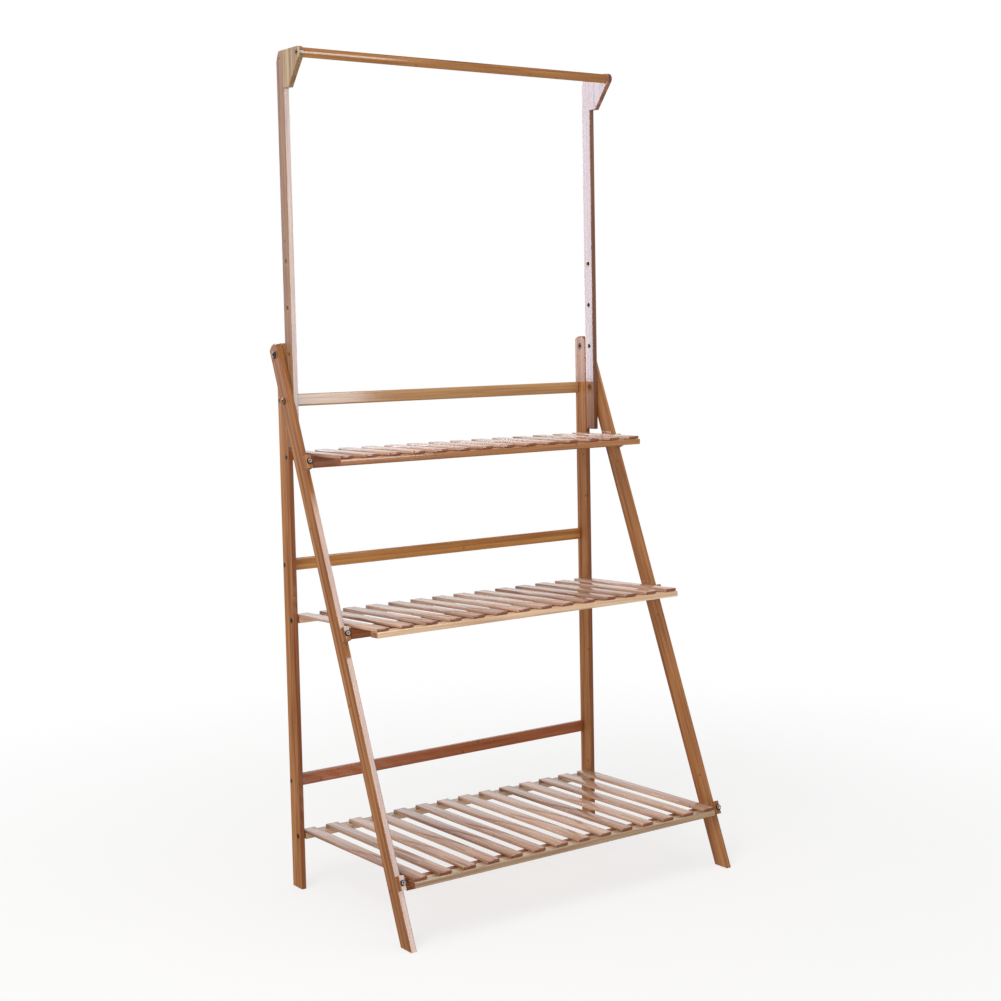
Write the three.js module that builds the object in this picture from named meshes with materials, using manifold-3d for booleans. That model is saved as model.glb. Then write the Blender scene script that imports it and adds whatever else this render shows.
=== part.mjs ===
import * as THREE from 'three';
import { mergeVertices } from 'three/addons/utils/BufferGeometryUtils.js';
import Module from 'manifold-3d';

// A folding bamboo plant ladder: two upright rear posts joined by back rails, two front legs
// that hinge on them, three slatted shelves that fold up between the posts, and a hanging bar on
// two perforated posts that slide between the rear posts and the legs.
//
// Millimetres. X runs across the stand, Y towards its back and Z up from the floor. Until the
// last lines, Y = 0 is the rear face of the rear posts.

const wasm = await Module();
wasm.setup();

// ---- Driving dimensions ----

// Clearances
const jointGap = 0.3;            // between pieces that are screwed or glued together
const holeClearance = 0.4;       // around the shank of every bolt and screw
const legSideGap = 0.6;          // between a rear post or hanger post and the leg beside it

// Rear frame
const postSpacing = 653;         // clear width between the rear posts
const postThickness = 10;
const postDepth = 32;
const postHead = 20;             // from the leg's pivot to the top of the post
const postCrown = 5.5;           // rise of the rounded top end
const railHeight = 21.5;
const railThickness = 9.6;

// Front legs
const legThickness = 11;
const legWidth = 30;
const legCrown = 6.2;
const legHeadLength = 19.2;      // from the pivot to the end of the leg above it
const legLean = THREE.MathUtils.degToRad(22.04);
const legPivotRise = 179.9;      // above the hinge of the top shelf
const legPivotSetback = 15.5;    // from the rear face of the rear posts

// Shelves, from the floor up. For each: the height of its hinge above the floor or above the hinge
// of the shelf below, how far it slopes up to the front, the clear depth between its bearer and its
// front rail, and the heights above its hinge of the back rail and of the catches on the legs.
const shelfPlans = {
  bottom: { step: 96.6, slope: 0.97, frontBay: 2.9, railRise: 97.5, catchRise: 8.9 },
  middle: { step: 391.9, slope: 2.24, frontBay: 63.9, railRise: 97.5, catchRise: 4.5 },
  top: { step: 290.6, slope: 0, frontBay: 74.4, railRise: 99, catchRise: -3.6 },
};
const shelfPivotSetback = 24.9;
const shelfSideGap = 0.5;        // between the shelf's rails and a rear post
const slatCount = 14;
const slatWidth = 24.8;
const slatThickness = 5.5;
const slatEndInset = 1;          // from the end of the rails to the outermost slat
const slatTail = 5.3;            // length of the slats behind the hinge
const slatHousing = 0.5;         // depth that the rear rail is let into the slats
const battenDepth = 22;          // front and rear rails of a shelf
const battenHeight = 10;
const frontRailLead = 3;         // front rail ahead of the slat ends
const bearerHeight = 20;
const bearerThickness = 11;

// Hanger
const hangerThickness = 10;
const hangerDepth = 25;
const hangerGap = 1;             // between the hanger post and the front of the rear post
const hangerRise = 517.7;        // top of the hanger above the leg's pivot
const hangerBoltDrop = 79.7;     // from the leg's pivot down to the hanger bolt
const hangerTail = 82.5;         // length of the hanger post below its bolt
const hangerHoleRadius = 3.5;
const hangerHolePitch = 80;
const hangerHoleCount = 4;
const hangerTopCut = { along: 9, down: 19, fullness: 0.67 };
const bracketHeight = 64.2;
const bracketToe = 15.5;         // depth of the bracket at its bottom edge
const bracketNoseRadius = 10;
const barRadius = 8.35;
const barReach = 48;             // from the front of the hanger post to the middle of the bar

// Catches on the legs
const catchHeight = 24;
const catchDepth = 13;

// Fasteners. Heads that would foul a neighbour lie flush in a counterbore.
const pivotBolt = { shank: 3, head: 6.5, headHeight: 2.4, socket: 2.6 };
const hangerBolt = { shank: 3, head: 6, headHeight: 2.4, socket: 2.4 };
const sleeveNut = { barrel: 4.3, flange: 6, flangeHeight: 1.8, wall: 1, end: 1 };
const shelfBolt = { shank: 2.5, head: 4.6, headHeight: 2, socket: 1.8, grip: 28 };
const railScrew = { shank: 2, head: 3.9, headHeight: 2, socket: 1.5, grip: 26 };
const catchBolt = { shank: 2.2, head: 5, headHeight: 3.2, socket: 2.4, grip: 18 };
const barScrew = { shank: 2.2, head: 4.4, headHeight: 2.2, socket: 1.9, grip: 26 };
const flushRecess = 0.2;         // depth of a flush head below the surface
const socketFloor = 0.4;         // share of a head's height that is left under its key socket

// Softened edges
const boardEase = 1;
const slatEase = 0.8;
const railRounding = 1.5;
const roundSides = 16;
const barSides = 32;
const overshoot = 1;             // how far a cutter stands out of the solid that it cuts

// ---- Sizes that follow ----

const shelves = {};
let floorToHinge = 0;
for (const [level, { step, slope, frontBay, railRise, catchRise }] of Object.entries(shelfPlans)) {
  floorToHinge += step;
  shelves[level] = {
    hinge: floorToHinge,
    tilt: THREE.MathUtils.degToRad(slope),
    frontBay,
    railCentre: floorToHinge + railRise,
    catchCentre: floorToHinge + catchRise,
  };
}
const legPivotHeight = shelves.top.hinge + legPivotRise;
const postHeight = legPivotHeight + postHead;
const hangerTop = legPivotHeight + hangerRise;
const hangerLowestHole = legPivotHeight - hangerBoltDrop;
const hangerBottom = hangerLowestHole - hangerTail;
const bracketBottom = hangerTop - bracketHeight;

const postCentre = (postSpacing + postThickness) / 2;
const hangerCentre = (postSpacing + hangerThickness) / 2;
const legInside = postSpacing / 2 + Math.max(postThickness, hangerThickness) + legSideGap;
const legCentre = legInside + legThickness / 2;
const legPivotY = -legPivotSetback;
const shelfPivotY = -shelfPivotSetback;
const hangerBack = -(postDepth + hangerGap);
const hangerFront = hangerBack - hangerDepth;
const hangerHoleY = (hangerBack + hangerFront) / 2;
const barY = hangerFront - barReach;
const barZ = hangerTop - bracketNoseRadius;
const bracketBack = hangerFront - jointGap;
const battenLength = postSpacing - 2 * shelfSideGap;
const backRailLength = postSpacing - 2 * jointGap;
const barLength = postSpacing - 2 * jointGap;
const sleeveLength = postThickness - flushRecess - sleeveNut.end;
const railScrewY = -railThickness / 2;
const underSlats = battenHeight / 2 - jointGap;

// ---- Materials ----

const bamboo = new THREE.MeshStandardMaterial({ color: 0xb98a62, roughness: 0.55, metalness: 0 });
const bambooShelf = new THREE.MeshStandardMaterial({ color: 0xd2a887, roughness: 0.55, metalness: 0 });
const steel = new THREE.MeshStandardMaterial({ color: 0xa9a9ac, roughness: 0.35, metalness: 1 });
const brass = new THREE.MeshStandardMaterial({ color: 0xb9935a, roughness: 0.35, metalness: 1 });

// ---- Solids ----

function solidOf(geometry) {
  const bare = geometry.clone();
  bare.deleteAttribute('normal');
  bare.deleteAttribute('uv');
  const merged = mergeVertices(bare, 1e-4);
  const vertProperties = new Float32Array(merged.attributes.position.array);
  const triVerts = new Uint32Array(merged.index.array);
  return new wasm.Manifold(new wasm.Mesh({ numProp: 3, vertProperties, triVerts }));
}

function geometryOf(solid) {
  const { vertProperties, triVerts } = solid.getMesh();
  const indexed = new THREE.BufferGeometry();
  indexed.setAttribute('position', new THREE.BufferAttribute(new Float32Array(vertProperties), 3));
  indexed.setIndex(new THREE.BufferAttribute(new Uint32Array(triVerts), 1));
  const faceted = indexed.toNonIndexed();
  faceted.computeVertexNormals();
  return faceted;
}

function joined(geometries) {
  return geometryOf(geometries.map(solidOf).reduce((whole, next) => whole.add(next)));
}

function drilled(geometry, cutters) {
  return geometryOf(cutters.map(solidOf).reduce((rest, next) => rest.subtract(next), solidOf(geometry)));
}

// ---- Forms ----

const axisX = new THREE.Vector3(1, 0, 0);
const axisY = new THREE.Vector3(0, 1, 0);
const axisZ = new THREE.Vector3(0, 0, 1);
const sideways = new THREE.Matrix4().makeBasis(axisY, axisZ, axisX);

// A profile drawn in Y and Z, as a board of this thickness centred on X = 0.
function sideBoard(shape, thickness, ease) {
  const geometry = new THREE.ExtrudeGeometry(shape, {
    depth: thickness - 2 * ease,
    bevelEnabled: ease > 0,
    bevelThickness: ease,
    bevelSize: ease,
    bevelOffset: -ease,
    bevelSegments: 1,
    curveSegments: roundSides / 2,
  });
  geometry.translate(0, 0, ease - thickness / 2);
  return geometry.applyMatrix4(sideways);
}

// A rail along X with rounded long edges: from back to front in Y and from bottom to top in Z.
function railBar(length, back, front, bottom, top) {
  const r = railRounding;
  const shape = new THREE.Shape();
  shape.absarc(back - r, bottom + r, r, -Math.PI / 2, 0, false);
  shape.absarc(back - r, top - r, r, 0, Math.PI / 2, false);
  shape.absarc(front + r, top - r, r, Math.PI / 2, Math.PI, false);
  shape.absarc(front + r, bottom + r, r, Math.PI, Math.PI * 1.5, false);
  const geometry = new THREE.ExtrudeGeometry(shape, { depth: length, bevelEnabled: false, curveSegments: 1 });
  geometry.translate(0, 0, -length / 2);
  return geometry.applyMatrix4(sideways);
}

// A shallow arc that closes the end of a board, from its back edge over to its front edge.
function addCrown(shape, back, front, top, crown) {
  const halfWidth = (back - front) / 2;
  const radius = (halfWidth ** 2 + crown ** 2) / (2 * crown);
  const swing = Math.asin(halfWidth / radius);
  shape.absarc((back + front) / 2, top - radius, radius, Math.PI / 2 - swing, Math.PI / 2 + swing, false);
}

function addHole(shape, y, z, radius) {
  const hole = new THREE.Path();
  hole.absarc(y, z, radius, 0, 2 * Math.PI, false);
  shape.holes.push(hole);
}

// A round rod along X between two ends.
function rod(radius, from, to, y = 0, z = 0, sides = roundSides) {
  const geometry = new THREE.CylinderGeometry(radius, radius, Math.abs(to - from), sides);
  geometry.rotateZ(-Math.PI / 2);
  return geometry.translate((from + to) / 2, y, z);
}

// A hexagonal plug along X, for the key sockets.
function hexPlug(radius, from, to) {
  return rod(radius, from, to, 0, 0, 6);
}

// A bolt along X with the underside of its head at X = 0 and its shank towards -X.
function boltGeometry({ shank, head, headHeight, socket }, length) {
  const whole = joined([rod(head, 0, headHeight), rod(shank, -length, headHeight / 2)]);
  return drilled(whole, [hexPlug(socket, headHeight * socketFloor, headHeight + overshoot)]);
}

// A flanged sleeve nut along X: flange at X = 0, barrel towards +X with its bore open there.
function sleeveNutGeometry() {
  const { barrel, flange, flangeHeight, wall } = sleeveNut;
  const bore = barrel - wall;
  const profile = [
    [0, 0],
    [flange, 0],
    [flange, flangeHeight],
    [barrel, flangeHeight],
    [barrel, sleeveLength],
    [bore, sleeveLength],
    [bore, flangeHeight],
    [0, flangeHeight],
  ].map(([radius, along]) => new THREE.Vector2(radius, along));
  return new THREE.LatheGeometry(profile, roundSides).rotateZ(-Math.PI / 2);
}

// Cutters for a sleeve nut let flush into the inner face of a board, and the rest of its bolt hole.
function sleeveCutters(side, y, z) {
  const inner = -side * postThickness / 2;
  const start = inner - side * overshoot;
  const end = side * (postThickness / 2 + overshoot);
  const { barrel, flange, flangeHeight } = sleeveNut;
  const seatDepth = flushRecess + flangeHeight + jointGap;
  const barrelDepth = flushRecess + sleeveLength + jointGap;
  return [
    rod(flange + jointGap, start, inner + side * seatDepth, y, z),
    rod(barrel + jointGap, start, inner + side * barrelDepth, y, z),
    rod(pivotBolt.shank + holeClearance, start, end, y, z),
  ];
}

// Cutters for a bolt whose head lies flush in the outer face of a board.
function flushCutters(side, thickness, { shank, head, headHeight }, y, z) {
  const outer = side * thickness / 2;
  const seat = outer - side * (flushRecess + headHeight + jointGap);
  const end = side * overshoot;
  return [
    rod(head + jointGap, seat, outer + end, y, z),
    rod(shank + holeClearance, outer, -outer - end, y, z),
  ];
}

// Blind holes in both ends of a rail that is centred on X = 0.
function endHoles(length, { shank, grip }, y, z) {
  const start = length / 2 + overshoot;
  const end = length / 2 - grip - holeClearance;
  return [-1, 1].map((side) => rod(shank + holeClearance, side * start, side * end, y, z));
}

// ---- Assembly helpers ----

const stand = new THREE.Group();

function add(name, geometry, material, parent = stand) {
  const mesh = new THREE.Mesh(geometry, material);
  mesh.name = name;
  parent.add(mesh);
  return mesh;
}

const sides = { left: -1, right: 1 };

// Turns a fastener whose head points to +X so that it points outwards on either side.
function faceOutwards(mesh, side) {
  mesh.rotation.z = side > 0 ? 0 : Math.PI;
}

function addFlushBolt(name, bolt, outerFace, side, y, z, parent = stand) {
  const underHead = outerFace - flushRecess - bolt.headHeight;
  const mesh = add(name, boltGeometry(bolt, bolt.grip + underHead - postSpacing / 2), steel, parent);
  mesh.position.set(side * underHead, y, z);
  faceOutwards(mesh, side);
}

// The nut's flange lies flush in the inner face of the post, its barrel points outwards.
function addSleeveNut(name, material, side, y, z) {
  const mesh = add(name, sleeveNutGeometry(), material);
  mesh.position.set(side * (postSpacing / 2 + flushRecess), y, z);
  faceOutwards(mesh, side);
}

// ---- Rear frame ----

function rearPostGeometry(side) {
  const shape = new THREE.Shape();
  shape.moveTo(-postDepth, 0);
  shape.lineTo(0, 0);
  addCrown(shape, 0, -postDepth, postHeight, postCrown);
  const cutters = sleeveCutters(side, legPivotY, legPivotHeight);
  for (const { hinge, railCentre } of Object.values(shelves)) {
    cutters.push(...flushCutters(side, postThickness, railScrew, railScrewY, railCentre));
    cutters.push(...flushCutters(side, postThickness, shelfBolt, shelfPivotY, hinge));
  }
  return drilled(sideBoard(shape, postThickness, boardEase), cutters);
}

function addRearFrame() {
  for (const [label, side] of Object.entries(sides)) {
    add(`rear_post_${label}`, rearPostGeometry(side), bamboo).position.x = side * postCentre;
    addSleeveNut(`leg_pivot_nut_${label}`, steel, side, legPivotY, legPivotHeight);
  }
  for (const [level, { railCentre }] of Object.entries(shelves)) {
    const bar = railBar(backRailLength, 0, -railThickness, -railHeight / 2, railHeight / 2);
    const geometry = drilled(bar, endHoles(backRailLength, railScrew, railScrewY, 0));
    add(`back_rail_${level}`, geometry, bamboo).position.z = railCentre;
    for (const [label, side] of Object.entries(sides)) {
      const outerFace = postSpacing / 2 + postThickness;
      addFlushBolt(`rail_screw_${level}_${label}`, railScrew, outerFace, side, railScrewY, railCentre);
    }
  }
}

// ---- Front legs ----

// A point given in the stand's Y and Z, in the frame of the leaning leg.
function onLeg(y, z) {
  const across = y - legPivotY;
  const up = z - legPivotHeight;
  return {
    y: across * Math.cos(legLean) - up * Math.sin(legLean),
    z: across * Math.sin(legLean) + up * Math.cos(legLean),
  };
}

// Where the plane at this height above the floor crosses a line along the leg.
function alongLegAt(height, y) {
  return (height - legPivotHeight + y * Math.sin(legLean)) / Math.cos(legLean);
}

// Where the leg's front edge meets a plane of a tilted shelf, as Y from the shelf's hinge. The plane
// lies this far above the hinge.
function legFrontUnder(hingeHeight, tilt, above) {
  const slope = Math.tan(legLean);
  const frontAtPivot = legPivotY - legWidth / 2 / Math.cos(legLean);
  const heightBelow = hingeHeight + above * Math.cos(tilt) - legPivotHeight;
  const run = frontAtPivot - shelfPivotY + heightBelow * slope - above * Math.sin(tilt);
  return run / (Math.cos(tilt) + slope * Math.sin(tilt));
}

const hangerBoltOnLeg = onLeg(hangerHoleY, hangerLowestHole);
const catchY = -(legWidth / 2 + jointGap + catchDepth / 2);
const catchFaceY = catchY - catchDepth / 2;

// A rod square to the leg's front edge, at a place along the leg.
function frontRod(radius, from, to, z) {
  const geometry = new THREE.CylinderGeometry(radius, radius, to - from, roundSides);
  return geometry.translate(0, (from + to) / 2, z);
}

function legGeometry() {
  const front = -legWidth / 2;
  const back = legWidth / 2;
  const shape = new THREE.Shape();
  shape.moveTo(front, alongLegAt(0, front));
  shape.lineTo(back, alongLegAt(0, back));
  addCrown(shape, back, front, legHeadLength, legCrown);
  const end = legThickness / 2 + overshoot;
  const cutters = [
    rod(pivotBolt.shank + holeClearance, -end, end),
    rod(hangerBolt.shank + holeClearance, -end, end, hangerBoltOnLeg.y, hangerBoltOnLeg.z),
  ];
  for (const shelf of Object.values(shelves)) {
    const z = alongLegAt(shelf.catchCentre, catchY);
    cutters.push(frontRod(catchBolt.shank + holeClearance, front - overshoot, front + catchBolt.grip, z));
  }
  return drilled(sideBoard(shape, legThickness, boardEase), cutters);
}

function catchBlockGeometry() {
  const half = catchHeight / 2;
  const shape = new THREE.Shape();
  shape.moveTo(-catchDepth / 2, -half);
  shape.lineTo(catchDepth / 2, -half);
  shape.lineTo(catchDepth / 2, half);
  shape.lineTo(-catchDepth / 2, half);
  const hole = frontRod(catchBolt.shank + holeClearance, -catchDepth, catchDepth, 0);
  return drilled(sideBoard(shape, legThickness, boardEase), [hole]);
}

function addCatch(level, label, leg) {
  const z = alongLegAt(shelves[level].catchCentre, catchY);
  add(`catch_block_${level}_${label}`, catchBlockGeometry(), bamboo, leg).position.set(0, catchY, z);
  const length = catchDepth + jointGap + catchBolt.grip - holeClearance;
  const bolt = add(`catch_bolt_${level}_${label}`, boltGeometry(catchBolt, length), steel, leg);
  bolt.position.set(0, catchFaceY - jointGap, z);
  bolt.rotation.z = -Math.PI / 2;
}

function addLegs() {
  for (const [label, side] of Object.entries(sides)) {
    const leg = new THREE.Group();
    leg.position.set(side * legCentre, legPivotY, legPivotHeight);
    leg.rotation.x = -legLean;
    stand.add(leg);
    add(`front_leg_${label}`, legGeometry(), bamboo, leg);
    const outerFace = legThickness / 2 + jointGap;
    const pivotReach = outerFace + legCentre - legThickness / 2 - postSpacing / 2 - sleeveNut.flangeHeight;
    const pivotLength = pivotReach + legThickness / 2 - flushRecess - 2 * jointGap;
    const pivot = add(`leg_pivot_bolt_${label}`, boltGeometry(pivotBolt, pivotLength), steel, leg);
    pivot.position.x = side * outerFace;
    faceOutwards(pivot, side);
    const bolt = add(`hanger_bolt_${label}`, boltGeometry(hangerBolt, legThickness), brass, leg);
    bolt.position.set(side * outerFace, hangerBoltOnLeg.y, hangerBoltOnLeg.z);
    faceOutwards(bolt, side);
    for (const level of Object.keys(shelves)) {
      addCatch(level, label, leg);
    }
  }
}

// ---- Shelves ----

function slatGeometry(x, reach) {
  const ease = slatEase;
  const length = reach + slatTail;
  const outline = new THREE.Shape();
  outline.moveTo(x - slatWidth / 2, -reach);
  outline.lineTo(x + slatWidth / 2, -reach);
  outline.lineTo(x + slatWidth / 2, length - reach);
  outline.lineTo(x - slatWidth / 2, length - reach);
  const geometry = new THREE.ExtrudeGeometry(outline, {
    depth: slatThickness - 2 * ease,
    bevelThickness: ease,
    bevelSize: ease,
    bevelOffset: -ease,
    bevelSegments: 1,
  });
  return geometry.translate(0, 0, battenHeight / 2 + ease);
}

// The slats and the rear rail they are fixed to, with the hinge axis along X through the origin.
function deckGeometry(reach) {
  const span = battenLength - 2 * slatEndInset - slatWidth;
  const railTop = battenHeight / 2 + slatHousing;
  const pieces = [railBar(battenLength, battenDepth / 2, -battenDepth / 2, -battenHeight / 2, railTop)];
  for (let i = 0; i < slatCount; i += 1) {
    pieces.push(slatGeometry(span * (i / (slatCount - 1) - 0.5), reach));
  }
  return drilled(joined(pieces), endHoles(battenLength, shelfBolt, 0, 0));
}

function addShelf(level) {
  const { hinge, tilt, frontBay } = shelves[level];
  const shelf = new THREE.Group();
  shelf.position.set(0, shelfPivotY, hinge);
  shelf.rotation.x = -tilt;
  stand.add(shelf);
  const bearerFront = legFrontUnder(hinge, tilt, underSlats);
  const reach = frontBay + battenDepth - frontRailLead - bearerFront;
  add(`${level}_shelf_deck`, deckGeometry(reach), bambooShelf, shelf);

  const railFront = -(reach + frontRailLead);
  const railBottom = underSlats - battenHeight;
  const frontRail = railBar(battenLength, railFront + battenDepth, railFront, railBottom, underSlats);
  add(`${level}_shelf_front_rail`, frontRail, bambooShelf, shelf);

  const bearerBack = bearerFront + bearerThickness;
  const bearer = railBar(battenLength, bearerBack, bearerFront, underSlats - bearerHeight, underSlats);
  add(`${level}_shelf_bearer`, bearer, bamboo, shelf);

  for (const [label, side] of Object.entries(sides)) {
    const outerFace = postSpacing / 2 + postThickness;
    addFlushBolt(`${level}_shelf_pivot_${label}`, shelfBolt, outerFace, side, shelfPivotY, hinge);
  }
}

// ---- Hanger ----

function hangerPostGeometry(side) {
  const { along, down, fullness } = hangerTopCut;
  const pull = 1 - fullness;
  const shape = new THREE.Shape();
  shape.moveTo(hangerFront, hangerBottom);
  shape.lineTo(hangerBack, hangerBottom);
  shape.lineTo(hangerBack, hangerTop - down);
  shape.quadraticCurveTo(hangerBack - pull * along, hangerTop - pull * down, hangerBack - along, hangerTop);
  shape.lineTo(hangerFront, hangerTop);
  for (let i = 1; i < hangerHoleCount; i += 1) {
    addHole(shape, hangerHoleY, hangerLowestHole + i * hangerHolePitch, hangerHoleRadius);
  }
  const cutters = sleeveCutters(side, hangerHoleY, hangerLowestHole);
  return drilled(sideBoard(shape, hangerThickness, boardEase), cutters);
}

// A gusset whose nose is rounded about the bar, in front of the top of the hanger post.
function bracketGeometry(side) {
  const toeY = bracketBack - bracketToe;
  const toToe = Math.atan2(bracketBottom - barZ, toeY - barY);
  const toeDistance = Math.hypot(bracketBottom - barZ, toeY - barY);
  const tangentAngle = toToe - Math.acos(bracketNoseRadius / toeDistance);
  const shape = new THREE.Shape();
  shape.moveTo(bracketBack, bracketBottom);
  shape.lineTo(toeY, bracketBottom);
  shape.absarc(barY, barZ, bracketNoseRadius, tangentAngle, Math.PI / 2, true);
  shape.lineTo(bracketBack, hangerTop);
  const cutters = flushCutters(side, hangerThickness, barScrew, barY, barZ);
  return drilled(sideBoard(shape, hangerThickness, boardEase), cutters);
}

function addHanger() {
  for (const [label, side] of Object.entries(sides)) {
    add(`hanger_post_${label}`, hangerPostGeometry(side), bamboo).position.x = side * hangerCentre;
    add(`bar_bracket_${label}`, bracketGeometry(side), bamboo).position.x = side * hangerCentre;
    addSleeveNut(`hanger_nut_${label}`, brass, side, hangerHoleY, hangerLowestHole);
    addFlushBolt(`bar_screw_${label}`, barScrew, postSpacing / 2 + hangerThickness, side, barY, barZ);
  }
  const blank = rod(barRadius, -barLength / 2, barLength / 2, 0, 0, barSides);
  const bar = drilled(blank, endHoles(barLength, barScrew, 0, 0));
  add('hanging_bar', bar, bamboo).position.set(0, barY, barZ);
}

// ---- The stand ----

addRearFrame();
addLegs();
Object.keys(shelves).forEach(addShelf);
addHanger();

// The origin lies on the floor, under the middle of the stand's depth.
const extent = new THREE.Box3().setFromObject(stand, true);
stand.position.y = -(extent.min.y + extent.max.y) / 2;

export default stand;
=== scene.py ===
import math

import bmesh
import bpy
from mathutils import Matrix, Vector


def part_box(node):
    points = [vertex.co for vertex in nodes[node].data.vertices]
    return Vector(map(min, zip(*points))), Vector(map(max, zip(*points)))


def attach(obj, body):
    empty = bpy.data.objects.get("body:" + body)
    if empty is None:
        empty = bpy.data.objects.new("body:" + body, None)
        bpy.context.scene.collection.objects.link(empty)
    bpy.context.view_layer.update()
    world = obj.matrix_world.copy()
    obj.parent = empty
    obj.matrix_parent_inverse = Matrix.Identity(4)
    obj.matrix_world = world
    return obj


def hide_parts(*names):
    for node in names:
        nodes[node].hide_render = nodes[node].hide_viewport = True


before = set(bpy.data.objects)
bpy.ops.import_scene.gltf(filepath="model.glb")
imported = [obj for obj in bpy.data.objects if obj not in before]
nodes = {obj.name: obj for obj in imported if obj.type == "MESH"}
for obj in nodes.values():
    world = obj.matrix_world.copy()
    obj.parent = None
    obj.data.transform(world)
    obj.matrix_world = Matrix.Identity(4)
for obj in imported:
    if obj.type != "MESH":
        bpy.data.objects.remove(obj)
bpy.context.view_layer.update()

LEVELS = ("top", "middle", "bottom")
SIDES = ("left", "right")

# ---- Camera, at the photograph's place. Metres and degrees; the image is 1001 by 1001 ----

IMAGE_SIZE = 1001
CAMERA_PLACE = Vector((-1.7382, -2.4671, 1.0016))
CAMERA_AZIMUTH = math.radians(-35.38)
CAMERA_PITCH = math.radians(-5.49)
CAMERA_ROLL = math.radians(-1.08)
FOCAL_PIXELS = 1695.94
CENTRE_PIXEL = (509.83, 489.0)
SENSOR = 36.0


def make_camera():
    data = bpy.data.cameras.new("camera")
    data.sensor_width = SENSOR
    data.lens = FOCAL_PIXELS * SENSOR / IMAGE_SIZE
    data.shift_x = (IMAGE_SIZE / 2 - CENTRE_PIXEL[0]) / IMAGE_SIZE
    data.shift_y = (CENTRE_PIXEL[1] - IMAGE_SIZE / 2) / IMAGE_SIZE
    data.clip_end = 50
    camera = bpy.data.objects.new("camera", data)
    bpy.context.scene.collection.objects.link(camera)
    level = math.cos(CAMERA_PITCH)
    ahead = Vector(
        (-math.sin(CAMERA_AZIMUTH) * level, math.cos(CAMERA_AZIMUTH) * level, math.sin(CAMERA_PITCH))
    )
    across = Vector((math.cos(CAMERA_AZIMUTH), math.sin(CAMERA_AZIMUTH), 0))
    upward = across.cross(ahead)
    right = math.cos(CAMERA_ROLL) * across + math.sin(CAMERA_ROLL) * upward
    up = math.cos(CAMERA_ROLL) * upward - math.sin(CAMERA_ROLL) * across
    camera.matrix_world = Matrix.Translation(CAMERA_PLACE) @ Matrix((right, up, -ahead)).transposed().to_4x4()
    bpy.context.scene.camera = camera


# ---- Materials ----


def linear(red, green, blue):
    """A colour given as 0 to 255 on a screen, as the shader's linear colour."""
    values = [c / 255 for c in (red, green, blue)]
    return tuple(c / 12.92 if c <= 0.04045 else ((c + 0.055) / 1.055) ** 2.4 for c in values) + (1.0,)


class Graph:
    """A material's node tree, with short calls for the nodes that repeat."""

    def __init__(self, name):
        self.material = bpy.data.materials.new(name)
        self.material.use_nodes = True
        self.tree = self.material.node_tree
        self.shader = self.tree.nodes["Principled BSDF"]

    def add(self, kind, **settings):
        node = self.tree.nodes.new(kind)
        for key, value in settings.items():
            setattr(node, key, value)
        return node

    def put(self, socket, value):
        if isinstance(value, bpy.types.NodeSocket):
            self.tree.links.new(value, socket)
        else:
            socket.default_value = value

    def math(self, operation, *values, clamp=False):
        node = self.add("ShaderNodeMath", operation=operation, use_clamp=clamp)
        for socket, value in zip(node.inputs, values):
            self.put(socket, value)
        return node.outputs[0]

    def dot(self, vector, direction):
        node = self.add("ShaderNodeVectorMath", operation="DOT_PRODUCT")
        self.put(node.inputs[0], vector)
        self.put(node.inputs[1], direction)
        return node.outputs["Value"]

    def combine(self, x, y, z):
        node = self.add("ShaderNodeCombineXYZ")
        for socket, value in zip(node.inputs, (x, y, z)):
            self.put(socket, value)
        return node.outputs[0]

    def noise(self, vector, scale, detail=2.0, roughness=0.5):
        node = self.add("ShaderNodeTexNoise", noise_dimensions="3D")
        self.put(node.inputs["Vector"], vector)
        node.inputs["Scale"].default_value = scale
        node.inputs["Detail"].default_value = detail
        node.inputs["Roughness"].default_value = roughness
        return node.outputs[0]

    def random(self, vector):
        node = self.add("ShaderNodeTexWhiteNoise", noise_dimensions="3D")
        self.put(node.inputs["Vector"], vector)
        return node.outputs["Value"]

    def ramp(self, factor, stops):
        node = self.add("ShaderNodeValToRGB")
        self.put(node.inputs[0], factor)
        elements = node.color_ramp.elements
        while len(elements) < len(stops):
            elements.new(0.5)
        for element, (place, colour) in zip(elements, stops):
            element.position = place
            element.color = colour
        return node.outputs[0]

    def mix(self, factor, first, second, blend="MIX"):
        node = self.add("ShaderNodeMix", data_type="RGBA", blend_type=blend)
        self.put(node.inputs[0], factor)
        self.put(node.inputs[6], first)
        self.put(node.inputs[7], second)
        return node.outputs[2]

    def span(self, value, low, high):
        """0 below low, 1 above high and a smooth step between."""
        node = self.add("ShaderNodeMapRange", interpolation_type="SMOOTHSTEP")
        self.put(node.inputs[0], value)
        node.inputs[1].default_value = low
        node.inputs[2].default_value = high
        return node.outputs[0]


STRIP = 0.0064           # width of one laminated strip
KNUCKLE_PITCH = 0.31     # from one knuckle of the cane to the next
KNUCKLE = 0.007          # length of the soft mark that a knuckle leaves
SEAM = 0.05              # share of a strip taken up by its glue line
SLAT_PITCH = 0.04809


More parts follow.
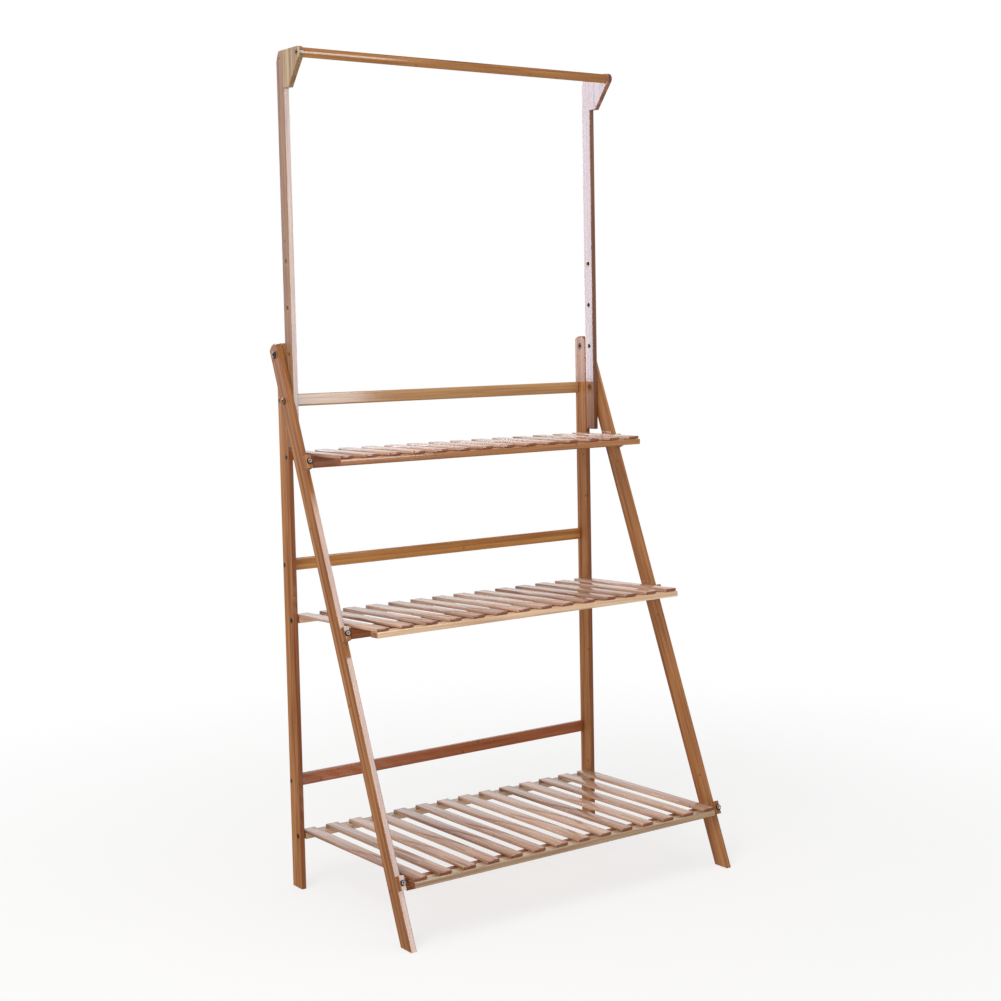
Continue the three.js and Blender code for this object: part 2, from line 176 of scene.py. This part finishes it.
def bamboo(
    name, light, middle, dark, end, along, across, seed, contrast=1.0, boards=0.0, edge=None, coat=0.9
):
    """Lacquered, laminated bamboo: strips along the piece, fine fibres, glue lines and knuckle marks.

    along and across are unit vectors in the row frame: the length and the width of the piece.
    end is the tone of the end grain. boards is how far neighbouring slats differ in tone. Faces
    that look along across get red, green and blue multiplied by the option after boards: below 1
    that is painted shade, above 1 a painted sheen. coat is how strongly the lacquer mirrors.
    """
    g = Graph(name)
    texture = g.add("ShaderNodeTexCoord")
    place = texture.outputs["Object"]
    along = Vector(along)
    across = Vector(across)
    u = g.dot(place, along)
    v = g.dot(place, across)
    w = g.dot(place, along.cross(across))
    row = g.math("ADD", g.math("MULTIPLY", v, 1 / STRIP), seed * 0.37)
    layer = g.math("ADD", g.math("MULTIPLY", w, 1 / STRIP), seed * 0.61)
    strip_random = g.random(g.combine(g.math("FLOOR", row), g.math("FLOOR", layer), float(seed)))
    board = g.math("FLOOR", g.math("MULTIPLY", v, 1 / SLAT_PITCH))
    board_random = g.random(g.combine(board, float(seed), 0.5))
    knuckle_shift = g.math("MULTIPLY", strip_random, 7.3)
    knuckle_turn = g.math("FRACT", g.math("ADD", g.math("MULTIPLY", u, 1 / KNUCKLE_PITCH), knuckle_shift))
    knuckle_gap = g.math("ABSOLUTE", g.math("SUBTRACT", knuckle_turn, 0.5))
    half_line = KNUCKLE / KNUCKLE_PITCH / 2
    knuckle = g.math("SUBTRACT", 1.0, g.span(knuckle_gap, half_line * 0.2, half_line))
    knuckle = g.math("MULTIPLY", knuckle, g.math("GREATER_THAN", strip_random, 0.72))
    seam_gap = g.math("ABSOLUTE", g.math("SUBTRACT", g.math("FRACT", row), 0.5))
    seam = g.span(seam_gap, 0.5 - SEAM, 0.5)
    shifted = g.math("ADD", u, g.math("MULTIPLY", strip_random, 3.1))

    def streaks(lengthwise, crosswise, detail):
        parts = [g.math("MULTIPLY", shifted, lengthwise)]
        parts += [g.math("MULTIPLY", c, crosswise) for c in (v, w)]
        return g.noise(g.combine(*parts), 1.0, detail)

    fibres = streaks(9, 700, 3.0)
    flecks = streaks(55, 1500, 2.0)
    clouds = streaks(6, 150, 2.0)
    strip_part = g.math("MULTIPLY", g.math("SUBTRACT", strip_random, 0.5), 0.45 * contrast)
    fibre_part = g.math("MULTIPLY", g.math("SUBTRACT", fibres, 0.5), 0.9 * contrast)
    cloud_part = g.math("MULTIPLY", g.math("SUBTRACT", clouds, 0.5), 1.7 * contrast)
    board_part = g.math("MULTIPLY", g.math("SUBTRACT", board_random, 0.5), boards)
    grain = g.math("ADD", g.math("ADD", strip_part, board_part), g.math("ADD", fibre_part, cloud_part))
    colour = g.ramp(g.math("ADD", 0.5, grain, clamp=True), [(0.0, dark), (0.5, middle), (1.0, light)])
    colour = g.mix(g.math("MULTIPLY", g.span(flecks, 0.6, 0.75), 0.3), colour, dark)
    colour = g.mix(g.math("MULTIPLY", seam, 0.35), colour, dark)
    knuckle_colour = tuple(c * 0.6 for c in dark[:3]) + (1.0,)
    colour = g.mix(g.math("MULTIPLY", knuckle, 0.45), colour, knuckle_colour)
    # Painted shade and sheen: the colour of faces that look along across is multiplied, below 1 as painted
    # shade and above 1 as a painted sheen.
    if edge is not None:
        edgewise = g.math("ABSOLUTE", g.dot(texture.outputs["Normal"], across))
        darker = g.mix(1.0, colour, (*edge, 1.0), blend="MULTIPLY")
        colour = g.mix(g.span(edgewise, 0.5, 0.9), colour, darker)
    endwise = g.math("ABSOLUTE", g.dot(texture.outputs["Normal"], along))
    end_colour = g.mix(fibres, tuple(c * 0.6 for c in end[:3]) + (1.0,), end)
    colour = g.mix(g.math("MULTIPLY", g.span(endwise, 0.6, 0.9), 0.85), colour, end_colour)
    g.put(g.shader.inputs["Base Color"], colour)
    g.put(g.shader.inputs["Roughness"], g.math("ADD", 0.42, g.math("MULTIPLY", fibres, 0.16)))
    g.shader.inputs["Specular IOR Level"].default_value = 0.12
    g.shader.inputs["Coat Weight"].default_value = coat
    g.shader.inputs["Coat Roughness"].default_value = 0.1
    g.shader.inputs["Coat IOR"].default_value = 1.5
    raised = g.math("ADD", g.math("MULTIPLY", fibres, 0.6), g.math("MULTIPLY", knuckle, 0.5))
    height = g.math("SUBTRACT", raised, seam)
    bump = g.add("ShaderNodeBump")
    bump.inputs["Strength"].default_value = 0.12
    bump.inputs["Distance"].default_value = 0.0003
    g.put(bump.inputs["Height"], height)
    g.put(g.shader.inputs["Normal"], bump.outputs[0])
    return g.material


def metal(name, colour, roughness, scratch, metallic):
    """Plated metal with fine turning marks and slightly uneven polish."""
    g = Graph(name)
    place = g.add("ShaderNodeTexCoord").outputs["Object"]
    marks = g.noise(place, 900.0, 3.0)
    cloud = g.noise(place, 160.0, 2.0)
    darker = tuple(c * 0.72 for c in colour[:3]) + (1.0,)
    g.put(g.shader.inputs["Base Color"], g.mix(g.span(cloud, 0.35, 0.65), darker, colour))
    g.shader.inputs["Metallic"].default_value = metallic
    g.put(g.shader.inputs["Roughness"], g.math("ADD", roughness, g.math("MULTIPLY", marks, scratch)))
    bump = g.add("ShaderNodeBump")
    bump.inputs["Strength"].default_value = 0.15
    bump.inputs["Distance"].default_value = 0.0001
    g.put(bump.inputs["Height"], marks)
    g.put(g.shader.inputs["Normal"], bump.outputs[0])
    return g.material


def dress(obj, *materials):
    """Give an object its materials. Clearing the slots first would reset which face uses which."""
    slots = obj.data.materials
    for i, material in enumerate(materials):
        if i < len(slots):
            slots[i] = material
        else:
            slots.append(material)


X = Vector((1, 0, 0))
Y = Vector((0, 1, 0))
Z = Vector((0, 0, 1))

# The middle colour of each kind of piece, as it shows on a screen. Each was fitted to how that piece looks
# where it stands, so the differences between left and right copies and between levels are partly wood tone
# and partly painted light and shade.
WOOD_AND_PAINTED_LIGHT_COLOURS = {
    "hanger_left": (150, 110, 80),
    "hanger_right": (155, 110, 85),
    "bracket_left": (175, 145, 105),
    "bracket_right": (165, 120, 95),
    "post": (170, 115, 70),
    "leg": (165, 110, 65),
    "rail_top": (195, 150, 100),
    "rail_middle": (195, 135, 70),
    "rail_bottom": (165, 95, 55),
    "bar": (160, 108, 60),
    "bearer": (145, 85, 45),
    "shelf": (190, 150, 125),
    "front_rail_top": (175, 120, 75),
    # Painted sheen: this front rail is paler than the others to stand in for light washing its front.
    "front_rail_middle": (230, 195, 160),
    "front_rail_bottom": (180, 150, 120),
}
END_GRAIN = (150, 84, 54)

# How much red, green and blue light a pale strip and a dark fibre give back, next to the middle colour
PALE_STRIP = (1.33, 1.48, 1.63)
DARK_FIBRE = (0.56, 0.44, 0.38)


def shaded(colour, factors):
    """A linear colour with red, green and blue multiplied, and held to what a surface can give back."""
    return tuple(min(1.0, c * f) for c, f in zip(colour, factors)) + (1.0,)


def toned_bamboo(name, kind, along, across, seed, **options):
    """Bamboo in the colour listed for this kind of piece, painted light and shade included."""
    middle = linear(*WOOD_AND_PAINTED_LIGHT_COLOURS[kind])
    pale, dark = shaded(middle, PALE_STRIP), shaded(middle, DARK_FIBRE)
    return bamboo(name, pale, middle, dark, linear(*END_GRAIN), along, across, seed, **options)


# ---- Pieces ----

LEG_LEAN = math.radians(22.04)
LEG_ALONG = Vector((0, -math.sin(LEG_LEAN), -math.cos(LEG_LEAN)))
LEG_AHEAD = Vector((0, -math.cos(LEG_LEAN), math.sin(LEG_LEAN)))
HINGE_Y = 0.18342
HINGES = {"top": (0.7791, 0.0), "middle": (0.4885, 2.24), "bottom": (0.0966, 0.97)}
SLATS = 14
SLAT_WIDTH = 0.0248
SLAT_EASE = 0.0013
SLAT_TAIL = 0.0053
SLAT_THICKNESS = 0.0055
RAIL_ROUNDING = 0.0016
REAR_RAIL_LOW = Vector((-0.011, -0.005))
REAR_RAIL_HIGH = Vector((0.011, 0.00495))
BOARD_EASE = 0.001
BEAM_EASE = 0.0005
GLUE_FILM = 0.00002      # the gap that the glue keeps to each board, and to their side faces

# Blind holes in the ends of rails and bar: radius and depth
SHELF_BOLT_HOLE = {"radius": 0.0029, "depth": 0.0284}
RAIL_SCREW_HOLE = {"radius": 0.0024, "depth": 0.0264}
BAR_SCREW_HOLE = {"radius": 0.0026, "depth": 0.0264}

# Fasteners: head is its radius, height its thickness, shank and socket are radii
LEG_PIVOT_BOLT = {"head": 0.0065, "height": 0.0024, "shank": 0.003, "socket": 0.0026, "dome": 0.0014}
HANGER_BOLT = {"head": 0.006, "height": 0.0024, "shank": 0.003, "socket": 0.0024, "dome": 0.0014}
CATCH_BOLT = {"head": 0.005, "height": 0.0032, "shank": 0.0022, "socket": 0.0016, "dish": 0.0037}
SHELF_PIVOT = {"head": 0.0046, "height": 0.002, "shank": 0.0025, "socket": 0.0018}
RAIL_SCREW = {"head": 0.0039, "height": 0.002, "shank": 0.002, "socket": 0.0015}
BAR_SCREW = {"head": 0.0044, "height": 0.0022, "shank": 0.0022, "socket": 0.0019}
NUT_FLANGE = 0.006
NUT_FLANGE_THICKNESS = 0.0018
NUT_BARREL = 0.0043
NUT_BORE = 0.0033
NUT_SOCKET = 0.0023

KEY_CORNERS = 6
KEY_EDGE = 0.0002        # the small bevel round the mouth of a key socket
TURNED_SIDES = 48
CREASE = math.radians(35)
SECTION_STEP = 0.0016    # points of a section lie about this far apart


def mesh_object(name, bm):
    """The finished mesh as an object, smooth but for edges sharper than CREASE."""
    bmesh.ops.recalc_face_normals(bm, faces=bm.faces)
    data = bpy.data.meshes.new(name)
    bm.to_mesh(data)
    bm.free()
    data.shade_smooth()
    data.set_sharp_from_angle(angle=CREASE)
    obj = bpy.data.objects.new(name, data)
    bpy.context.scene.collection.objects.link(obj)
    return obj


def finish_piece(obj, body, materials, replaced):
    """Dress a new piece, put it in place of CAD nodes and let it ride on a body."""
    dress(obj, *materials)
    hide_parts(*replaced)
    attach(obj, body)
    return obj


def local_box(node, place):
    """Lowest and highest corner of a CAD node in the frame of this matrix."""
    back = place.inverted()
    corners = [back @ v.co for v in nodes[node].data.vertices]
    lows = Vector([min(c[i] for c in corners) for i in range(3)])
    highs = Vector([max(c[i] for c in corners) for i in range(3)])
    return lows, highs


def loop(bm, place, points):
    return [bm.verts.new(place @ Vector(p)) for p in points]


def bridge(bm, first, second, material=0):
    count = len(first)
    for i in range(count):
        j = (i + 1) % count
        bm.faces.new((first[i], first[j], second[j], second[i])).material_index = material


def rounded_section(low, high, rounding):
    """A rounded rectangle in Y and Z as a ring of points, close enough together to meet a round hole."""
    y0, z0 = low[0] + rounding, low[1] + rounding
    y1, z1 = high[0] - rounding, high[1] - rounding
    corners = []
    for y, z, start in ((y1, z0, -90), (y1, z1, 0), (y0, z1, 90), (y0, z0, 180)):
        for step in range(6):
            angle = math.radians(start + 18 * step)
            corners.append((y + rounding * math.cos(angle), z + rounding * math.sin(angle)))
    points = []
    for here, there in zip(corners, corners[1:] + corners[:1]):
        pieces = max(1, round(math.dist(here, there) / SECTION_STEP))
        for step in range(pieces):
            points.append(tuple(a + (b - a) * step / pieces for a, b in zip(here, there)))
    return points


def round_section(centre, radius, count=72):
    turns = [2 * math.pi * i / count for i in range(count)]
    return [(centre[0] + radius * math.cos(t), centre[1] + radius * math.sin(t)) for t in turns]


def beam(name, place, ends, section, hole=None):
    """A bar along X with this section, eased ends and, if asked, a blind round hole in each end."""
    centre = [(min(p[i] for p in section) + max(p[i] for p in section)) / 2 for i in range(2)]
    bm = bmesh.new()

    def drawn_in(value, middle, inset):
        return value - math.copysign(min(inset, abs(value - middle)), value - middle)

    def ring(x, inset):
        shrunk = [[drawn_in(value, middle, inset) for value, middle in zip(p, centre)] for p in section]
        return loop(bm, place, [(x, y, z) for y, z in shrunk])

    left, right = ends
    rings = [ring(left, BEAM_EASE), ring(left + BEAM_EASE, 0), ring(right - BEAM_EASE, 0)]
    rings.append(ring(right, BEAM_EASE))
    for first, second in zip(rings, rings[1:]):
        bridge(bm, first, second)
    for outer, x, inward in ((rings[0], left, 1), (rings[-1], right, -1)):
        if hole is None:
            bm.faces.new(outer)
            continue
        turns = [math.atan2(z - centre[1], y - centre[0]) for y, z in section]
        radius = hole["radius"]
        circle = [(centre[0] + radius * math.cos(t), centre[1] + radius * math.sin(t)) for t in turns]
        mouth = loop(bm, place, [(x, y, z) for y, z in circle])
        floor = loop(bm, place, [(x + inward * hole["depth"], y, z) for y, z in circle])
        bridge(bm, outer, mouth)
        bridge(bm, mouth, floor)
        bm.faces.new(floor)
    return mesh_object(name, bm)


def rail_beam(name, node, place, body, material, hole=None):
    """A beam that fills the box of this CAD node and takes its place."""
    low, high = local_box(node, place)
    obj = beam(name, place, (low.x, high.x), rounded_section(low.yz, high.yz, RAIL_ROUNDING), hole)
    return finish_piece(obj, body, [material], [node])


def shelf_place(level):
    """The frame of a shelf: its origin on the hinge, its Y along the slats."""
    height, slope = HINGES[level]
    return Matrix.Translation((0, HINGE_Y, height)) @ Matrix.Rotation(-math.radians(slope), 4, "X")


def slat(name, place, x, back, front, bottom, top):
    """A slat with rounded edges, its length along Y."""
    bm = bmesh.new()
    bmesh.ops.create_cube(bm, size=1)
    size = Matrix.Diagonal((SLAT_WIDTH, back - front, top - bottom, 1))
    middle = Matrix.Translation((x, (back + front) / 2, (bottom + top) / 2))
    bmesh.ops.transform(bm, matrix=place @ middle @ size, verts=bm.verts)
    bmesh.ops.bevel(bm, geom=list(bm.edges), offset=SLAT_EASE, segments=3, profile=0.5, affect="EDGES")
    return mesh_object(name, bm)


def turned(name, place, rings, dark_rings=0, bright_rings=0):
    """A closed turned piece. Each ring is its place along Z, its radius and its number of corners.

    Rings with corners make a key socket. The faces up to dark_rings get the second material and the
    bright_rings after them the third.
    """
    bm = bmesh.new()
    loops = []
    for z, radius, corners in rings:
        points = []
        for i in range(TURNED_SIDES):
            turn = 2 * math.pi * i / TURNED_SIDES
            reach = radius
            if corners:
                half = math.pi / corners
                reach = radius * math.cos(half) / math.cos(turn % (2 * half) - half)
            points.append((reach * math.cos(turn), reach * math.sin(turn), z))
        loops.append(loop(bm, place, points))
    for i, (first, second) in enumerate(zip(loops, loops[1:])):
        bridge(bm, first, second, 1 if i < dark_rings else 2 if i < dark_rings + bright_rings else 0)
    bm.faces.new(loops[0]).material_index = 1 if dark_rings else 0
    bm.faces.new(loops[-1])
    return mesh_object(name, bm)


def outward_place(node, outward, across):
    """A frame whose Z leaves the head of this fastener, and the fastener's length."""
    upward = outward.cross(across)
    turn = Matrix((across, upward, outward)).transposed().to_4x4()
    low, high = local_box(node, turn)
    middle = (low + high) / 2
    return turn @ Matrix.Translation((middle.x, middle.y, high.z)), high.z - low.z


def socket_bolt(
    node, body, slot, materials, outward, across, head, height, shank, socket, dome=0.0, dish=0.0
):
    """A bolt with a key socket.

    With a dome its head is a button, without one a cylinder with a chamfer. With a dish of this
    radius it has a bright hollow face within a blackened rim.
    """
    place, length = outward_place(node, outward, across)
    soft = min(0.0005, height * 0.25)
    socket_depth = height * 0.6
    rim = socket * 1.12
    chamfer = [(0, head - soft, 0), (-soft * 0.3, head - soft * 0.3, 0), (-soft, head, 0)]
    rings = [(-socket_depth, socket, KEY_CORNERS), (-KEY_EDGE, socket, KEY_CORNERS), (0, rim, 0)]
    if dish:
        rings[1:] = [(-0.0008, socket, KEY_CORNERS), (-0.0006, rim, 0)]
        rings += [(-0.0002, dish, 0), (0, dish + 0.0003, 0)] + chamfer
    elif dome:
        for step in range(1, 7):
            turn = math.radians(90 * step / 6)
            rings.append((-dome * (1 - math.cos(turn)), rim + (head - rim) * math.sin(turn), 0))
    else:
        rings += chamfer
    rings += [(-height + 0.0002, head, 0), (-height, head - 0.0002, 0), (-height, shank, 0)]
    rings += [(-length + 0.0004, shank, 0), (-length, shank - 0.0004, 0)]
    obj = turned(node + "_turned", place, rings, 1, 2 if dish else 0)
    return finish_piece(obj, body, materials, [node])


def glue_line(side, material):
    """The glue between a bracket and its post, brought level with the faces of both boards."""
    bracket_low, bracket_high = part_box(f"bar_bracket_{side}")
    post_low, post_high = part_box(f"hanger_post_{side}")
    ease = BOARD_EASE - 2 * GLUE_FILM
    front = bracket_high.y + GLUE_FILM
    back = post_low.y - GLUE_FILM
    x0, x1 = post_low.x + GLUE_FILM, post_high.x - GLUE_FILM
    outline = [(x0, front - ease), (x0 + ease, front), (x1 - ease, front), (x1, front - ease)]
    outline += [(x1, back + ease), (x1 - ease, back), (x0 + ease, back), (x0, back + ease)]
    bm = bmesh.new()
    ends = [bracket_low.z + BOARD_EASE, bracket_high.z - BOARD_EASE]
    lower, upper = [loop(bm, Matrix(), [(x, y, z) for x, y in outline]) for z in ends]
    bridge(bm, lower, upper)
    bm.faces.new(lower)
    bm.faces.new(upper)
    obj = mesh_object(f"bracket_glue_line_{side}", bm)
    dress(obj, material)
    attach(obj, "hanger")


def sleeve_nut(node, materials, outward, body):
    """A flanged sleeve: its flange faces the middle of the stand, its barrel is bored from behind."""
    place, length = outward_place(node, outward, Y)
    back = -NUT_FLANGE_THICKNESS
    rings = [(-0.001, NUT_SOCKET, KEY_CORNERS), (-KEY_EDGE, NUT_SOCKET, KEY_CORNERS)]
    rings += [(0, NUT_SOCKET + 0.0003, 0), (0, NUT_FLANGE - 0.0004, 0), (-0.0004, NUT_FLANGE, 0)]
    rings += [(back, NUT_FLANGE, 0), (back, NUT_BARREL, 0), (-length, NUT_BARREL, 0)]
    rings += [(-length, NUT_BORE, 0), (back, NUT_BORE, 0)]
    obj = turned(node + "_turned", place, rings, 1)
    return finish_piece(obj, body, materials, [node])


# ---- Light and floor ----


def panel(name, place, target, width, height, power, colour, shown=True, lights=True):
    """An area light. shown: glossy surfaces mirror it. lights: it lights matt surfaces."""
    data = bpy.data.lights.new(name, "AREA")
    data.shape = "RECTANGLE"
    data.size = width
    data.size_y = height
    data.energy = power
    data.color = colour
    light = bpy.data.objects.new(name, data)
    bpy.context.scene.collection.objects.link(light)
    light.location = place
    light.rotation_euler = (Vector(target) - Vector(place)).to_track_quat("-Z", "Y").to_euler()
    light.visible_camera = False
    light.visible_glossy = shown
    light.visible_diffuse = lights


FRONT_SHEEN = (0.84, 0.92, 1.0)
BACK_SHEEN = (0.68, 0.81, 1.0)
FAR_SHEEN = (1.0, 0.95, 0.94)
WARM = (1.0, 0.98, 0.95)
AMBIENT = (1.0, 0.98, 0.97)
MIRRORED = (0.95, 0.94, 1.0)


def make_world():
    """White behind the stand, bright for matt surfaces and dim in what glossy surfaces mirror."""
    world = bpy.data.worlds.new("studio")
    world.use_nodes = True
    bpy.context.scene.world = world
    tree = world.node_tree

    def background(colour, strength):
        node = tree.nodes.new("ShaderNodeBackground")
        node.inputs[0].default_value = (*colour, 1.0)
        node.inputs[1].default_value = strength
        return node.outputs[0]

    def choose(ray, when, otherwise):
        node = tree.nodes.new("ShaderNodeMixShader")
        tree.links.new(path.outputs[ray], node.inputs[0])
        tree.links.new(otherwise, node.inputs[1])
        tree.links.new(when, node.inputs[2])
        return node.outputs[0]

    path = tree.nodes.new("ShaderNodeLightPath")
    mirrored = choose("Is Glossy Ray", background(MIRRORED, 0.14), background(AMBIENT, 0.5))
    seen = choose("Is Camera Ray", background((1.0, 1.0, 1.0), 1.0), mirrored)
    tree.links.new(seen, tree.nodes["World Output"].inputs[0])


def make_floor():
    """A pale floor that is seven tenths glow near the stand, which pales the stand's shadow on it, and grows
    into a fully glowing white backdrop away from the stand.
    """
    bm = bmesh.new()
    bmesh.ops.create_grid(bm, x_segments=1, y_segments=1, size=14)
    floor = mesh_object("floor", bm)
    g = Graph("floor")
    place = g.add("ShaderNodeTexCoord").outputs["Object"]
    cloud = g.noise(place, 3.0, 2.0)
    g.put(g.shader.inputs["Base Color"], g.mix(cloud, (0.88, 0.88, 0.88, 1), (0.92, 0.92, 0.92, 1)))
    g.shader.inputs["Roughness"].default_value = 0.8
    g.shader.inputs["Specular IOR Level"].default_value = 0.1
    glow = g.add("ShaderNodeEmission")
    glow.inputs["Strength"].default_value = 1.0
    distance = g.add("ShaderNodeVectorMath", operation="LENGTH")
    g.put(distance.inputs[0], place)
    # Painted light: seven tenths glow near the stand pales its shadow, rising to full glow away from it.
    blend = g.add("ShaderNodeMixShader")
    fade = g.span(distance.outputs["Value"], 0.5, 1.9)
    g.put(blend.inputs[0], g.math("ADD", 0.7, g.math("MULTIPLY", fade, 0.3)))
    g.put(blend.inputs[1], g.shader.outputs[0])
    g.put(blend.inputs[2], glow.outputs[0])
    g.put(g.tree.nodes["Material Output"].inputs[0], blend.outputs[0])
    dress(floor, g.material)
    floor.visible_glossy = False


make_camera()
make_world()
make_floor()
panel("key", (-2.4, -1.3, 2.6), (0, 0, 0.7), 2.0, 2.0, 55, WARM, shown=False)
panel("top", (-0.2, -0.2, 3.3), (0, 0, 0), 2.4, 2.0, 22, WARM, shown=False)
panel("front_mirror", (1.05, -2.5, 1.55), (0.1, -0.1, 1.1), 0.7, 1.9, 43, FRONT_SHEEN, lights=False)
panel("back_mirror", (-0.64, 1.5, 1.51), (0.1, 0, 1.3), 0.32, 1.38, 14.5, BACK_SHEEN, lights=False)
panel("far_mirror", (2.0, 2.85, 1.2), (0, 0, 0.5), 3.4, 2.4, 22, FAR_SHEEN, lights=False)
bpy.context.scene.view_settings.view_transform = "Standard"

# ---- The stand ----

steel = metal("steel", linear(116, 105, 98), 0.3, 0.25, metallic=0.8)
bright_steel = metal("bright_steel", linear(214, 206, 200), 0.2, 0.2, metallic=0.35)
brass = metal("brass", linear(168, 122, 66), 0.32, 0.2, metallic=0.8)
dark_steel_and_socket_shade = metal("dark_steel_and_socket_shade", linear(58, 50, 48), 0.42, 0.25, metallic=0.6)
# The second material of STEEL and BRASS paints the key sockets of bolts and nuts dark: painted shade in the
# recess. In CATCH_STEEL the same dark steel is also the head's own colour.
STEEL = [steel, dark_steel_and_socket_shade]
BRASS = [brass, dark_steel_and_socket_shade]
CATCH_STEEL = [dark_steel_and_socket_shade, dark_steel_and_socket_shade, bright_steel]

for number, side in enumerate(SIDES):
    # Posts: the face multiply below 1 is painted shade on their front and rear faces.
    post_wood = toned_bamboo(f"post_{side}", "post", Z, Y, 3 + number, edge=(0.66, 0.55, 0.57), coat=0.32)
    # Hangers: the left post's front and rear faces are paled as a painted sheen, the right post's are
    # darkened as painted shade.
    hanger_edge = {"left": (1.25, 1.35, 1.5), "right": (0.6, 0.56, 0.54)}[side]
    hanger_wood = toned_bamboo(f"hanger_{side}", f"hanger_{side}", Z, Y, 11 + number, edge=hanger_edge)
    dress(nodes[f"rear_post_{side}"], post_wood)
    dress(nodes[f"hanger_post_{side}"], hanger_wood)
    # Brackets: the face multiply below 1 is painted shade on their front and rear faces.
    bracket_look = {"edge": (0.6, 0.52, 0.48), "contrast": 1.3}
    bracket_wood = toned_bamboo(f"bracket_{side}", f"bracket_{side}", Z, Y, 21 + number, **bracket_look)
    dress(nodes[f"bar_bracket_{side}"], bracket_wood)
    glue_line(side, bracket_wood)
    dress(nodes[f"front_leg_{side}"], toned_bamboo(f"leg_{side}", "leg", LEG_ALONG, LEG_AHEAD, 31 + number))
    for level in LEVELS:
        dress(nodes[f"catch_block_{level}_{side}"], nodes[f"front_leg_{side}"].data.materials[0])

for number, level in enumerate(LEVELS):
    deck = f"{level}_shelf_deck"
    body = f"{level}_shelf"
    place = shelf_place(level)
    slat_wood = toned_bamboo(f"slats_{level}", "shelf", Y, X, 71 + number, boards=0.6, contrast=1.0)
    rail_wood = toned_bamboo(f"front_rail_{level}", f"front_rail_{level}", X, Y, 61 + number, contrast=0.7)
    bearer_wood = toned_bamboo(f"bearer_{level}", "bearer", X, Z, 51 + number, contrast=0.7)
    low, high = local_box(deck, place)
    bottom = high.z - SLAT_THICKNESS
    for i in range(SLATS):
        x = SLAT_PITCH * (i - (SLATS - 1) / 2)
        piece = slat(f"{body}_slat_{i + 1:02d}", place, x, SLAT_TAIL, low.y, bottom, high.z)
        finish_piece(piece, body, [slat_wood], [deck])
    section = rounded_section(REAR_RAIL_LOW, REAR_RAIL_HIGH, RAIL_ROUNDING)
    rear = beam(f"{body}_rear_rail", place, (low.x, high.x), section, SHELF_BOLT_HOLE)
    finish_piece(rear, body, [rail_wood], [deck])
    rail_beam(f"{body}_front_rail_piece", f"{body}_front_rail", place, body, rail_wood)
    rail_beam(f"{body}_bearer_piece", f"{body}_bearer", place, body, bearer_wood)
    back_wood = toned_bamboo(f"rail_{level}", f"rail_{level}", X, Z, 41 + number, contrast=0.6)
    rail_beam(f"back_rail_{level}_piece", f"back_rail_{level}", Matrix(), "frame", back_wood, RAIL_SCREW_HOLE)

low, high = local_box("hanging_bar", Matrix())
bar_section = round_section(((low.y + high.y) / 2, (low.z + high.z) / 2), (high.y - low.y) / 2)
bar = beam("hanging_bar_piece", Matrix(), (low.x, high.x), bar_section, BAR_SCREW_HOLE)
finish_piece(bar, "hanger", [toned_bamboo("bar", "bar", X, Y, 81)], ["hanging_bar"])

for side, outward in (("left", -X), ("right", X)):
    leg = f"leg_{side}"
    socket_bolt(f"leg_pivot_bolt_{side}", leg, "steel", STEEL, outward, LEG_ALONG, **LEG_PIVOT_BOLT)
    socket_bolt(f"hanger_bolt_{side}", leg, "brass", BRASS, outward, LEG_ALONG, **HANGER_BOLT)
    sleeve_nut(f"leg_pivot_nut_{side}", STEEL, -outward, "frame")
    sleeve_nut(f"hanger_nut_{side}", BRASS, -outward, "hanger")
    socket_bolt(f"bar_screw_{side}", "hanger", "steel", STEEL, outward, Y, **BAR_SCREW)
    for level in LEVELS:
        catch = f"catch_bolt_{level}_{side}"
        socket_bolt(catch, leg, "steel", CATCH_STEEL, LEG_AHEAD, X, **CATCH_BOLT)
        socket_bolt(f"rail_screw_{level}_{side}", "frame", "steel", STEEL, outward, Y, **RAIL_SCREW)
        socket_bolt(f"{level}_shelf_pivot_{side}", "frame", "steel", STEEL, outward, Y, **SHELF_PIVOT)
